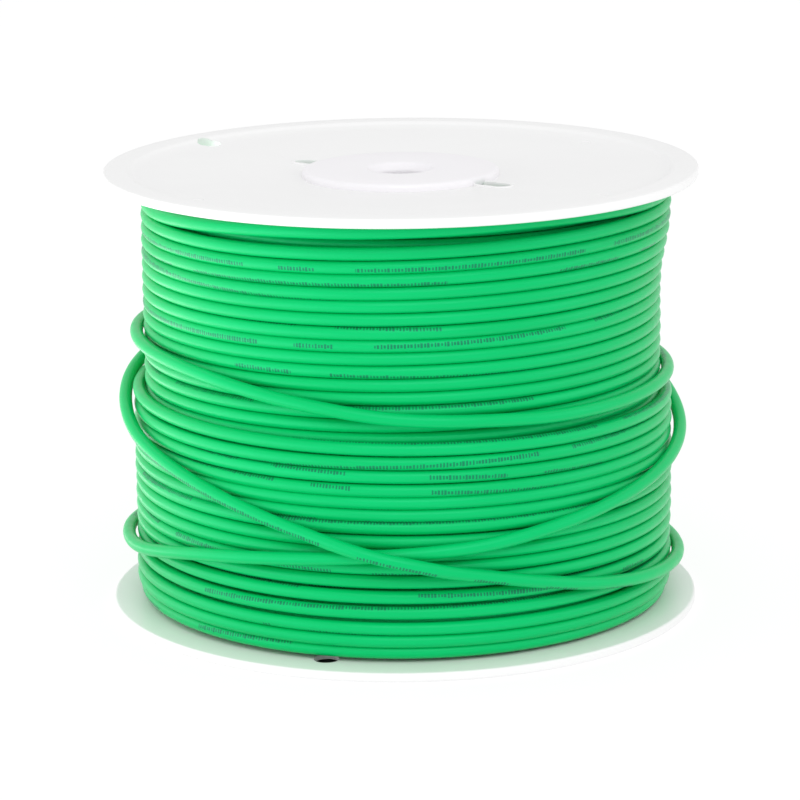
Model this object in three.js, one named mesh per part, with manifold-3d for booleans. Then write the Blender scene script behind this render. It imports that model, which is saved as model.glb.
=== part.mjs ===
// A reel of screened data cable: a moulded plastic reel standing on its lower flange,
// wound full, with three loose turns lying over the winding and a bare stripped end.
// Millimetres, +Z up. The origin is on the surface the reel stands on, on the reel's axis.

import * as THREE from 'three';
import { mergeVertices } from 'three/addons/utils/BufferGeometryUtils.js';
import Module from 'manifold-3d';

const wasm = await Module();
wasm.setup();

// ---- Driving dimensions ----

const clearance = 0.3;

const reelHeight = 188;
const flangeRadius = 125;
const rimThickness = 4;
const rimEdgeRound = 0.9;
const rimInnerRadius = 114.5;
const rimFilletRadius = 112.5;
const rimFilletDepth = 1.3;
const webOuterRadius = 108;
const webOuterDepth = 2.2;
const webHubDepth = 4.5;
const webThickness = 2;

const barrelRadius = 42;
const barrelWall = 3;
const capRadius = 41.5;
const capInset = 1.4;
const capEdgeRound = 1.2;
const spigotWall = 2.5;
const spigotEnd = 18;
const boreRadius = 11;
const boreMouthRadius = 14;
const boreBossWall = 2;
const sleeveWall = 2;

const slotRadius = 48;
const slotWidth = 8;
const slotLength = 16;
const slotLip = 1.5;
const slotLipHeight = 0.8;
const upperSlotAngle = 142.5;
const lowerSlotAngle = 75;
const endHoleRadius = 5.2;
const endHolePlace = 109.5;
const upperEndHoleAngle = 140;
const lowerEndHoleAngle = -107;
const cutterReach = 12;
const flangeSegments = 60;
const hubSegments = 40;
const windingSegments = 48;

const cableDiameter = 5.5;
const layerCount = 13;
const fullLayersRadius = 109.6;
const topLayerRadius = 114.5;
const topLayerHeight = 97.5;
const bottomTurnRadius = 112;
const bottomTurnRise = 8;

// The last stretch of the cable, stripped in steps. Each length is measured from its start.
const endLength = { jacket: 14, braid: 21, foil: 27, insulation: 34, conductor: 40 };
const endAngle = 82;
const endHeight = 122.4;
const endTouch = 10;
const jacketBore = 4.6;
const braidOuter = 4.52;
const braidBore = 4.28;
const foilOuter = 1.71;
const foilBore = 1.62;
const foilOffset = 1.22;
const insulationOuter = 0.66;
const insulationBore = 0.48;
const conductorDiameter = 0.4;
const pairOffset = 0.43;
const pairLay = [16, 19, 22, 25];

// The loose turns: angle in degrees, distance from the reel's axis and height. The cable runs
// clockwise seen from above, so angles fall from turn to turn. The reel's front is at -90,
// -450 and -810.
const onLayer = fullLayersRadius + clearance + cableDiameter / 2;
const onTop = topLayerRadius + clearance + cableDiameter / 2;
const crossing = onTop + cableDiameter + clearance;
const endLead = THREE.MathUtils.radToDeg(Math.atan(endTouch / onLayer));
const endStartRadius = Math.hypot(onLayer, endTouch);
const looseTurns = [
  [
    [60, onLayer, 100.8], [30, onLayer, 101], [0, onLayer, 101.4], [-22, onLayer, 101.5],
    [-39, onLayer, 101.3], [-56, onLayer, 101.6], [-70, onLayer, 102.8], [-91, onLayer, 105],
    [-111, onLayer, 110], [-136, onLayer, 116.2], [-149, onLayer, 118], [-180, onLayer, 119.5],
  ],
  [
    [-180, onLayer, 119.5], [-205, 113.4, 118.2], [-220, 116.8, 116.2], [-233, 119.3, 113.8],
    [-246, 116.8, 111], [-261, onLayer, 108.6], [-275, 113.8, 106.4], [-288, 116.5, 103.9],
    [-300, 119, 101], [-312, 119.3, 98], [-325, 118.4, 93.8], [-340, 118, 87.5],
    [-360, 118.2, 77], [-378, onTop, 70.2], [-398, onTop, 64], [-416, onTop, 58.4],
    [-434, onTop, 53.2], [-445, onTop, 51.4], [-461, onTop, 49.3], [-484, onTop, 45.1],
    [-498, onTop, 41.4], [-521, 118, 33.6], [-540, 118.1, 31.4],
  ],
  [
    [-540, 118.1, 31.4], [-560, 118, 29], [-600, onTop, 24.8], [-640, onTop, 22],
    [-680, onTop, 20.5], [-720, onTop, 21], [-745, onTop, 23.8], [-765, onTop, 28.6],
    [-783, onTop, 35.7], [-794, 118, 40.5], [-801, 120, 43.5], [-807, 122.6, 47],
    [-813, crossing, 50], [-819, 122.6, 53], [-825, 120, 56], [-832, 118, 59.5],
    [-857, onTop, 72.5], [-879, 118, 82], [-898, 118, 91.5], [-912, 117.8, 97.6],
    [-921, 116.6, 101.4], [-930, 114.2, 104.8], [-941, onLayer, 108.8], [-953, onLayer, 113.4],
    [-965, 113, 117.9], [-977, 113.8, 121.2], [-986, 113.9, endHeight],
    [endAngle - 3 * 360 + endLead, endStartRadius, endHeight],
  ],
];
const looseSteps = [34, 68, 78];
const looseSides = 8;

// ---- Materials ----

function plastic(color, roughness) {
  return new THREE.MeshStandardMaterial({ color, roughness, metalness: 0 });
}

const materials = {
  flange: plastic(0xf2f2f0, 0.42),
  hub: plastic(0xf3f1f4, 0.4),
  jacket: plastic(0x00d46f, 0.55),
  braid: new THREE.MeshStandardMaterial({ color: 0xb9bcc0, roughness: 0.4, metalness: 0.9 }),
  foil: new THREE.MeshStandardMaterial({ color: 0xd6d8dc, roughness: 0.28, metalness: 1 }),
  copper: new THREE.MeshStandardMaterial({ color: 0xc77b4a, roughness: 0.35, metalness: 1 }),
  white: plastic(0xeeeeea, 0.5),
};
const pairColours = { blue: 0x2456b8, orange: 0xe8791c, green: 0x1f8a3c, brown: 0x6e4526 };

const reel = new THREE.Group();

function addPiece(parent, name, geometry, material) {
  const piece = new THREE.Mesh(geometry, material);
  piece.name = name;
  parent.add(piece);
  return piece;
}

// ---- Shape helpers ----

// A closed outline of [radius, height] points, turned about +Z.
function turned(outline, segments) {
  const points = outline.map(([radius, height]) => new THREE.Vector2(radius, height));
  points.push(points[0].clone());
  return new THREE.LatheGeometry(points, segments).rotateX(Math.PI / 2);
}

function turnedTube(outer, inner, low, high, segments) {
  return turned([[inner, low], [outer, low], [outer, high], [inner, high]], segments);
}

function toSolid(geometry) {
  const bare = geometry.clone();
  bare.deleteAttribute('normal');
  bare.deleteAttribute('uv');
  const merged = mergeVertices(bare, 1e-4);
  return new wasm.Manifold(new wasm.Mesh({
    numProp: 3,
    vertProperties: new Float32Array(merged.attributes.position.array),
    triVerts: new Uint32Array(merged.index.array),
  }));
}

function toGeometry(solid) {
  const mesh = solid.getMesh();
  const geometry = new THREE.BufferGeometry();
  geometry.setAttribute('position', new THREE.BufferAttribute(mesh.vertProperties, 3));
  geometry.setIndex(new THREE.BufferAttribute(mesh.triVerts, 1));
  geometry.computeVertexNormals();
  return geometry;
}

// A prism with round ends, standing on z = low, its length across the reel's radius.
function stadium(width, length, low, high) {
  const halfRun = (length - width) / 2;
  const shape = new THREE.Shape();
  shape.absarc(0, halfRun, width / 2, 0, Math.PI, false);
  shape.absarc(0, -halfRun, width / 2, Math.PI, 2 * Math.PI, false);
  shape.closePath();
  return new THREE.ExtrudeGeometry(shape, {
    depth: high - low,
    bevelEnabled: false,
    curveSegments: 8,
  }).translate(0, 0, low);
}

function placedAt(geometry, radius, angle) {
  return geometry.translate(radius, 0, 0).rotateZ(THREE.MathUtils.degToRad(angle));
}

// ---- Reel: everything is drawn as its lower copy, and the upper copy is turned over ----

function arcPoints(centreX, centreY, radius, from, to, count) {
  const points = [];
  for (let step = 0; step <= count; step += 1) {
    const angle = THREE.MathUtils.degToRad(from + ((to - from) * step) / count);
    points.push([centreX + radius * Math.cos(angle), centreY + radius * Math.sin(angle)]);
  }
  return points;
}

// The web's outer face is a shallow cone, so the reel stands only on its rim.
function webOutside(radius) {
  const share = (webOuterRadius - radius) / (webOuterRadius - barrelRadius);
  return THREE.MathUtils.lerp(webOuterDepth, webHubDepth, share);
}

function flangeSolid(slotAngle, endHoleAngle) {
  const holeRadius = barrelRadius - barrelWall;
  const roundCentre = flangeRadius - rimEdgeRound;
  const outline = [
    [holeRadius, webOutside(barrelRadius)],
    [barrelRadius, webOutside(barrelRadius)],
    [webOuterRadius, webOuterDepth],
    [rimFilletRadius, rimFilletDepth],
    [rimInnerRadius, 0],
    ...arcPoints(roundCentre, rimEdgeRound, rimEdgeRound, -90, 0, 2),
    ...arcPoints(roundCentre, rimThickness - rimEdgeRound, rimEdgeRound, 0, 90, 2),
    [webOuterRadius, rimThickness],
    [barrelRadius, webHubDepth + webThickness],
    [holeRadius, webHubDepth + webThickness],
  ];
  let solid = toSolid(turned(outline, flangeSegments));
  const slotFace = webOutside(slotRadius);
  for (const angle of [slotAngle, slotAngle + 180]) {
    const lip = stadium(slotWidth + 2 * slotLip, slotLength + 2 * slotLip,
      slotFace - slotLipHeight, slotFace + webThickness / 2);
    solid = solid.add(toSolid(placedAt(lip, slotRadius, angle)));
  }
  for (const angle of [slotAngle, slotAngle + 180]) {
    const cutter = stadium(slotWidth, slotLength, -cutterReach, cutterReach);
    solid = solid.subtract(toSolid(placedAt(cutter, slotRadius, angle)));
  }
  const drill = new THREE.CylinderGeometry(endHoleRadius, endHoleRadius, 2 * cutterReach, 24);
  drill.rotateX(Math.PI / 2);
  return solid.subtract(toSolid(placedAt(drill, endHolePlace, endHoleAngle)));
}

// The end disc, with the spigot that holds the barrel and the boss that holds the sleeve.
function hubCapGeometry() {
  const under = webHubDepth - clearance;
  const spigotRadius = barrelRadius - barrelWall - clearance;
  const bossRadius = boreRadius + boreBossWall;
  const mouthDepth = boreMouthRadius - boreRadius;
  return turned([
    [boreMouthRadius, capInset],
    ...arcPoints(capRadius - capEdgeRound, capInset + capEdgeRound, capEdgeRound, -90, 0, 3),
    [capRadius, under],
    [spigotRadius, under],
    [spigotRadius, spigotEnd],
    [spigotRadius - spigotWall, spigotEnd],
    [spigotRadius - spigotWall, under],
    [bossRadius, under],
    [bossRadius, spigotEnd],
    [boreRadius, spigotEnd],
    [boreRadius, capInset + mouthDepth],
  ], hubSegments);
}

// Turned over about the X axis, a piece keeps its shape, and an angle changes its sign.
const upperEnd = new THREE.Group();
upperEnd.position.z = reelHeight;
upperEnd.rotation.x = Math.PI;
reel.add(upperEnd);

const upperFlange = toGeometry(flangeSolid(-upperSlotAngle, -upperEndHoleAngle));
const lowerFlange = toGeometry(flangeSolid(lowerSlotAngle, lowerEndHoleAngle));
addPiece(upperEnd, 'upper_flange', upperFlange, materials.flange);
addPiece(reel, 'lower_flange', lowerFlange, materials.flange);
addPiece(upperEnd, 'upper_hub_cap', hubCapGeometry(), materials.hub);
addPiece(reel, 'lower_hub_cap', hubCapGeometry(), materials.hub);

const barrelEnd = webHubDepth + webThickness + clearance;
addPiece(reel, 'barrel', turnedTube(barrelRadius, barrelRadius - barrelWall,
  barrelEnd, reelHeight - barrelEnd, hubSegments), materials.hub);

const sleeveBore = boreRadius + boreBossWall + clearance;
addPiece(reel, 'spindle_sleeve', turnedTube(sleeveBore + sleeveWall, sleeveBore,
  webHubDepth, reelHeight - webHubDepth, hubSegments), materials.hub);

// ---- Winding: one ring for each group of full layers, and one for the unfinished layer ----

const firstLayerCentre = barrelRadius + clearance + cableDiameter / 2;
const lastLayerCentre = fullLayersRadius - cableDiameter / 2;
const layerPitch = (lastLayerCentre - firstLayerCentre) / (layerCount - 1);

function layerStart(layer) {
  return firstLayerCentre + (layer - 1) * layerPitch - layerPitch / 2;
}

// The flange's inner face: a cone out to the web's edge, then flat.
function flangeInside(radius) {
  return Math.max(webOutside(radius) + webThickness, rimThickness);
}

function windingRing(inner, outer) {
  const radii = [inner, webOuterRadius, outer].filter((radius) => radius <= outer);
  const lowEdge = radii.map((radius) => [radius, flangeInside(radius) + clearance]);
  const highEdge = lowEdge.map(([radius, height]) => [radius, reelHeight - height]);
  return turned([...lowEdge, ...highEdge.reverse()], windingSegments);
}

const layerGroups = [[1, 5], [6, 8], [9, 11], [12, 12], [13, 13]];
for (const [first, last] of layerGroups) {
  const inner = first === 1 ? barrelRadius + clearance : layerStart(first) + clearance / 2;
  const outer = last === layerCount ? fullLayersRadius : layerStart(last + 1) - clearance / 2;
  const label = first === last ? `winding_layer_${last}` : `winding_layers_${first}_to_${last}`;
  addPiece(reel, label, windingRing(inner, outer), materials.jacket);
}
// The unfinished layer's lowest turns sink in beside the flange.
const unfinishedFoot = flangeInside(topLayerRadius) + clearance;
const unfinishedLayer = turned([
  [fullLayersRadius + clearance, unfinishedFoot],
  [bottomTurnRadius, unfinishedFoot],
  [topLayerRadius, unfinishedFoot + bottomTurnRise],
  [topLayerRadius, topLayerHeight],
  [fullLayersRadius + clearance, topLayerHeight],
], windingSegments);
addPiece(reel, `winding_layer_${layerCount + 1}`, unfinishedLayer, materials.jacket);

// ---- Loose turns ----

class LooseRoute extends THREE.Curve {
  constructor(points) {
    super();
    this.spline = new THREE.CatmullRomCurve3(points.map((point) => new THREE.Vector3(...point)));
  }

  getPoint(t) {
    const place = this.spline.getPoint(t);
    const angle = THREE.MathUtils.degToRad(place.x);
    return new THREE.Vector3(place.y * Math.cos(angle), place.y * Math.sin(angle), place.z);
  }
}

function roundShape(radius, sides) {
  const corners = [];
  for (let corner = 0; corner < sides; corner += 1) {
    const angle = (2 * Math.PI * corner) / sides;
    corners.push(new THREE.Vector2(radius * Math.cos(angle), radius * Math.sin(angle)));
  }
  return new THREE.Shape(corners);
}

// Each loose turn stops short of what follows it, so that they stay separate solids.
function loosePiece(points, steps) {
  const [angle, radius, height] = points[points.length - 1];
  const gapAngle = THREE.MathUtils.radToDeg(1.5 * clearance / radius);
  const ended = points.slice(0, -1);
  ended.push([angle + gapAngle, radius, height]);
  return new THREE.ExtrudeGeometry(roundShape(cableDiameter / 2, looseSides), {
    steps,
    bevelEnabled: false,
    extrudePath: new LooseRoute(ended),
  });
}

looseTurns.forEach((points, index) => {
  const geometry = loosePiece(points, looseSteps[index]);
  addPiece(reel, `loose_turn_${index + 1}`, geometry, materials.jacket);
});

// ---- Free end: drawn along +Z from its start, then laid along the winding ----

function hollowTube(outer, bore, low, high, sides) {
  const shape = roundShape(outer / 2, sides);
  shape.holes.push(new THREE.Path(roundShape(bore / 2, sides).getPoints()));
  return new THREE.ExtrudeGeometry(shape, { depth: high - low, bevelEnabled: false })
    .translate(0, 0, low);
}

class CoreHelix extends THREE.Curve {
  constructor(lay, startAngle, length) {
    super();
    Object.assign(this, { lay, startAngle, length });
  }

  getPoint(t) {
    const along = t * this.length;
    const angle = this.startAngle + (2 * Math.PI * along) / this.lay;
    return new THREE.Vector3(pairOffset * Math.cos(angle), pairOffset * Math.sin(angle), along);
  }
}

function twistedCore(outer, bore, lay, startAngle, length) {
  const sides = 6;
  const stepLength = 3.2;
  const shape = roundShape(outer / 2, sides);
  if (bore > 0) {
    shape.holes.push(new THREE.Path(roundShape(bore / 2, sides).getPoints()));
  }
  return new THREE.ExtrudeGeometry(shape, {
    steps: Math.round(length / stepLength),
    bevelEnabled: false,
    extrudePath: new CoreHelix(lay, startAngle, length),
  });
}

// The end is straight. It touches the winding at one point, endTouch from its start.
const freeEnd = new THREE.Group();
const endRadians = THREE.MathUtils.degToRad(endAngle);
const endDirection = new THREE.Vector3(Math.sin(endRadians), -Math.cos(endRadians), 0);
freeEnd.position.set(onLayer * Math.cos(endRadians), onLayer * Math.sin(endRadians), endHeight);
freeEnd.position.addScaledVector(endDirection, -endTouch);
freeEnd.quaternion.setFromUnitVectors(new THREE.Vector3(0, 0, 1), endDirection);
reel.add(freeEnd);

addPiece(freeEnd, 'end_jacket',
  hollowTube(cableDiameter, jacketBore, 0, endLength.jacket, 16), materials.jacket);
addPiece(freeEnd, 'end_braid',
  hollowTube(braidOuter, braidBore, 0, endLength.braid, 16), materials.braid);

Object.entries(pairColours).forEach(([colourName, colour], index) => {
  const quarter = Math.PI / 4 + (index * Math.PI) / 2;
  const pair = new THREE.Group();
  pair.position.set(foilOffset * Math.cos(quarter), foilOffset * Math.sin(quarter), 0);
  freeEnd.add(pair);
  addPiece(pair, `pair_foil_${colourName}`,
    hollowTube(foilOuter, foilBore, 0, endLength.foil, 12), materials.foil);
  const cores = [
    [`${colourName}`, plastic(colour, 0.5), 0],
    [`white_${colourName}`, materials.white, Math.PI],
  ];
  for (const [coreName, material, startAngle] of cores) {
    addPiece(pair, `insulation_${coreName}`,
      twistedCore(insulationOuter, insulationBore, pairLay[index], startAngle,
        endLength.insulation), material);
    addPiece(pair, `conductor_${coreName}`,
      twistedCore(conductorDiameter, 0, pairLay[index], startAngle,
        endLength.conductor), materials.copper);
  }
});

export default reel;
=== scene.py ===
"""Looks for a plastic reel of green data cable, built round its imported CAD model.

Lengths named *_MM are millimetres and everything handed to Blender is metres, in the CAD frame:
the reel stands on z = 0, its axis is Z, and the camera looks along +Y.
"""
import math

import bmesh
import bpy
import numpy as np
from mathutils import Matrix, Vector


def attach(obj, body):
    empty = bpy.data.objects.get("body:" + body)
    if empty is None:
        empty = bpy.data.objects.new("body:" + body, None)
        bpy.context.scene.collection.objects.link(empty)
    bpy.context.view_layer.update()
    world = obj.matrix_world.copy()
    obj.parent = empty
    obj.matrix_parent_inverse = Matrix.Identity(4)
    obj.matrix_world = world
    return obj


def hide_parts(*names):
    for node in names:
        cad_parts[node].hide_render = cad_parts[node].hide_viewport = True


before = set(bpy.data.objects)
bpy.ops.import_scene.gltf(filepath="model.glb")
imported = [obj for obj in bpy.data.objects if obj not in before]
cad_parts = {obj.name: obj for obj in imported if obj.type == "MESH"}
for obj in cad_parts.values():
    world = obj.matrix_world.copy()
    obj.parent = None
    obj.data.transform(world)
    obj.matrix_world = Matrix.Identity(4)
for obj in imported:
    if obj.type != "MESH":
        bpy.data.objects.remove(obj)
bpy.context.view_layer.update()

MM = 0.001

# ---- Sizes, the same ones as the CAD source ----
REEL_HEIGHT_MM = 188.0
FLANGE_RADIUS_MM = 125.0
RIM_THICKNESS_MM = 4.0
RIM_INNER_MM = 114.5
WEB_OUTER_MM = 108.0
WEB_OUTER_DEPTH_MM = 2.2
WEB_HUB_DEPTH_MM = 4.5
WEB_THICKNESS_MM = 2.0
BARREL_RADIUS_MM = 42.0
BARREL_WALL_MM = 3.0
CAP_RADIUS_MM = 41.5
CAP_INSET_MM = 1.4
SPIGOT_END_MM = 18.0
BORE_RADIUS_MM = 11.0
BORE_MOUTH_MM = 14.0
BOSS_WALL_MM = 2.0
SLEEVE_WALL_MM = 2.0
CLEARANCE_MM = 0.3
SLOT_RADIUS_MM = 48.0
SLOT_WIDTH_MM = 8.0
SLOT_LENGTH_MM = 16.0
END_HOLE_RADIUS_MM = 5.2
END_HOLE_PLACE_MM = 109.5
UPPER_SLOT_ANGLE = 142.5
LOWER_SLOT_ANGLE = 75.0
UPPER_END_HOLE_ANGLE = 140.0
LOWER_END_HOLE_ANGLE = -107.0

CABLE_MM = 5.5
HALF_MM = CABLE_MM / 2
LAYERS = 13
FULL_LAYERS_MM = 109.6
TOP_LAYER_MM = 114.5
END_ANGLE = 82.0
END_HEIGHT_MM = 122.4
END_TOUCH_MM = 10.0
END_JACKET_MM = 14.0
END_BRAID_MM = 21.0
END_FOIL_MM = 27.0
END_INSULATION_MM = 34.0
END_CONDUCTOR_MM = 40.0
JACKET_BORE_MM = 4.6
FOIL_OFFSET_MM = 1.22
FOIL_MM = 1.66
INSULATION_MM = 0.66
PAIR_OFFSET_MM = 0.4
PAIR_LAYS_MM = (16.0, 19.0, 22.0, 25.0)
PAIR_COLOURS = ("blue", "orange", "green", "brown")

# ---- The camera and the cords come first ----

# Where the camera stands, and its angles in degrees.
CAMERA_PLACE = (0, -1.501, 0.447)
CAMERA_PITCH = -13.52
CAMERA_YAW = -0.047
CAMERA_ROLL = -0.634
CAMERA_LENS_MM = 162.7
CAMERA_SENSOR_MM = 36.0


def make_camera():
    """A long lens at the photograph's viewing angle, a little above the reel."""
    pitch = math.radians(CAMERA_PITCH)
    yaw = math.radians(CAMERA_YAW)
    roll = math.radians(CAMERA_ROLL)
    ahead = Vector((
        math.sin(yaw) * math.cos(pitch),
        math.cos(yaw) * math.cos(pitch),
        math.sin(pitch),
    ))
    right = ahead.cross(Vector((0, 0, 1))).normalized()
    up = right.cross(ahead)
    tilted_right = right * math.cos(roll) + up * math.sin(roll)
    tilted_up = up * math.cos(roll) - right * math.sin(roll)
    data = bpy.data.cameras.new("camera")
    data.sensor_width = CAMERA_SENSOR_MM
    data.lens = CAMERA_LENS_MM
    data.clip_start = 0.1
    data.clip_end = 60.0
    camera = bpy.data.objects.new("camera", data)
    turn = Matrix((tilted_right, tilted_up, -ahead)).transposed().to_4x4()
    camera.matrix_world = Matrix.Translation(CAMERA_PLACE) @ turn
    bpy.context.scene.collection.objects.link(camera)
    bpy.context.scene.camera = camera


make_camera()

# The loose turns' route, as in the CAD source: angle in degrees, distance from the reel's
# axis and height. The cable runs clockwise seen from above, and the front is at -90.
ON_LAYER_MM = FULL_LAYERS_MM + CLEARANCE_MM + HALF_MM
ON_TOP_MM = TOP_LAYER_MM + CLEARANCE_MM + HALF_MM
CROSSING_MM = ON_TOP_MM + CABLE_MM + CLEARANCE_MM
END_START_ANGLE = END_ANGLE - 3 * 360 + math.degrees(math.atan(END_TOUCH_MM / ON_LAYER_MM))
END_START_MM = math.hypot(ON_LAYER_MM, END_TOUCH_MM)
LOOSE_ROUTE = [
    (60, ON_LAYER_MM, 100.8), (30, ON_LAYER_MM, 101), (0, ON_LAYER_MM, 101.4),
    (-22, ON_LAYER_MM, 101.5), (-39, ON_LAYER_MM, 101.3), (-56, ON_LAYER_MM, 101.6),
    (-70, ON_LAYER_MM, 102.8), (-91, ON_LAYER_MM, 105), (-111, ON_LAYER_MM, 110),
    (-136, ON_LAYER_MM, 116.2), (-149, ON_LAYER_MM, 118), (-180, ON_LAYER_MM, 119.5),
    (-205, 113.4, 118.2), (-220, 116.8, 116.2), (-233, 119.3, 113.8),
    (-246, 116.8, 111), (-261, ON_LAYER_MM, 108.6), (-275, 113.8, 106.4),
    (-288, 116.5, 103.9), (-300, 119, 101), (-312, 119.3, 98), (-325, 118.4, 93.8),
    (-340, 118, 87.5), (-360, 118.2, 77), (-378, ON_TOP_MM, 70.2), (-398, ON_TOP_MM, 64),
    (-416, ON_TOP_MM, 58.4), (-434, ON_TOP_MM, 53.2), (-445, ON_TOP_MM, 51.4),
    (-461, ON_TOP_MM, 49.3), (-484, ON_TOP_MM, 45.1), (-498, ON_TOP_MM, 41.4),
    (-521, 118, 33.6), (-540, 118.1, 31.4), (-560, 118, 29), (-600, ON_TOP_MM, 24.8),
    (-640, ON_TOP_MM, 22), (-680, ON_TOP_MM, 20.5), (-720, ON_TOP_MM, 21),
    (-745, ON_TOP_MM, 23.8), (-765, ON_TOP_MM, 28.6), (-783, ON_TOP_MM, 35.7),
    (-794, 118, 40.5), (-801, 120, 43.5), (-807, 122.6, 47), (-813, CROSSING_MM, 50),
    (-819, 122.6, 53), (-825, 120, 56), (-832, 118, 59.5), (-857, ON_TOP_MM, 72.5),
    (-879, 118, 82), (-898, 118, 91.5), (-912, 117.8, 97.6), (-921, 116.6, 101.4),
    (-930, 114.2, 104.8), (-941, ON_LAYER_MM, 108.8), (-953, ON_LAYER_MM, 113.4),
    (-965, 113, 117.9), (-977, 113.8, 121.2), (-986, 113.9, END_HEIGHT_MM),
    (END_START_ANGLE, END_START_MM, END_HEIGHT_MM),
]


def smooth_curve(points, per_span):
    """A centripetal Catmull-Rom curve through the points, as three.js draws it."""
    p = np.array(points, float)
    p = np.vstack([2 * p[0] - p[1], p, 2 * p[-1] - p[-2]])
    gaps = np.linalg.norm(np.diff(p, axis=0), axis=1) ** 0.5
    share = np.linspace(0, 1, per_span, endpoint=False)[:, None]
    spans = []
    for i in range(1, len(p) - 2):
        before, here, after = gaps[i - 1], gaps[i], gaps[i + 1]
        leave = (p[i] - p[i - 1]) / before - (p[i + 1] - p[i - 1]) / (before + here)
        leave = here * (leave + (p[i + 1] - p[i]) / here)
        arrive = (p[i + 1] - p[i]) / here - (p[i + 2] - p[i]) / (here + after)
        arrive = here * (arrive + (p[i + 2] - p[i + 1]) / after)
        rise = p[i + 1] - p[i]
        spans.append(
            p[i] + leave * share
            + (3 * rise - 2 * leave - arrive) * share**2
            + (leave + arrive - 2 * rise) * share**3
        )
    spans.append(p[-2][None])
    return np.vstack(spans)


def from_polar(polar):
    """Points from (angle in degrees, distance from the axis, height) in mm, in metres."""
    angle = np.radians(polar[:, 0])
    return MM * np.column_stack([
        polar[:, 1] * np.cos(angle),
        polar[:, 1] * np.sin(angle),
        polar[:, 2],
    ])


def along(path):
    """How far along the path each of its points lies."""
    return np.concatenate([[0], np.cumsum(np.linalg.norm(np.diff(path, axis=0), axis=1))])


def resampled(path, step):
    """The path again, with its points the same distance apart."""
    distance = along(path)
    count = max(2, int(round(distance[-1] / step)) + 1)
    places = np.linspace(0, distance[-1], count)
    return np.column_stack([np.interp(places, distance, path[:, i]) for i in range(3)])


def softened(path, reach):
    """The path with its small kinks averaged away over reach points each side."""
    weights = np.hanning(2 * reach + 3)[1:-1]
    weights /= weights.sum()
    padded = np.vstack([
        2 * path[0] - path[reach:0:-1],
        path,
        2 * path[-1] - path[-2:-reach - 2:-1],
    ])
    return np.column_stack([np.convolve(padded[:, i], weights, "valid") for i in range(3)])


# ---- Meshes ----

SHARP_ANGLE = 38


def new_mesh(name, parts):
    """A mesh from parts, each (points, quads, triangles, a UV for every corner)."""
    offset = 0
    corners, starts, all_points, all_uvs = [], [], [], []
    first_corner = 0
    for points, quads, triangles, uvs in parts:
        for faces in (quads, triangles):
            faces = np.asarray(faces, np.int64)
            corners.append(faces.ravel() + offset)
            starts.append(first_corner + np.arange(len(faces)) * faces.shape[1])
            first_corner += faces.size
        all_points.append(points)
        all_uvs.append(uvs)
        offset += len(points)
    corners = np.concatenate(corners).astype(np.int32)
    starts = np.concatenate(starts).astype(np.int32)
    mesh = bpy.data.meshes.new(name)
    mesh.vertices.add(offset)
    mesh.vertices.foreach_set("co", np.concatenate(all_points).astype(np.float32).ravel())
    mesh.loops.add(len(corners))
    mesh.loops.foreach_set("vertex_index", corners)
    mesh.polygons.add(len(starts))
    mesh.polygons.foreach_set("loop_start", starts)
    layer = mesh.uv_layers.new(name="cable")
    layer.data.foreach_set("uv", np.concatenate(all_uvs).astype(np.float32).ravel())
    mesh.polygons.foreach_set("use_smooth", np.ones(len(starts), bool))
    mesh.update(calc_edges=True)
    mesh.validate()
    return mesh


def new_piece(name, mesh, material, nodes):
    """An object of the reel: it rides on its only body and stands for these CAD nodes."""
    piece = bpy.data.objects.new(name, mesh)
    bpy.context.scene.collection.objects.link(piece)
    mesh.materials.clear()
    mesh.materials.append(material)
    mesh.set_sharp_from_angle(angle=math.radians(SHARP_ANGLE))
    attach(piece, "root")
    if nodes:
        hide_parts(*nodes)
    return piece


def ring_frames(path):
    """For each point of a path, the directions of its section's first and second axis.
    The first points away from the reel's axis, so a tube never twists."""
    tangent = np.gradient(path, axis=0)
    tangent /= np.linalg.norm(tangent, axis=1)[:, None]
    outward = path * (1, 1, 0)
    outward -= (outward * tangent).sum(1)[:, None] * tangent
    outward /= np.linalg.norm(outward, axis=1)[:, None]
    return outward, np.cross(tangent, outward)


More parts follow.
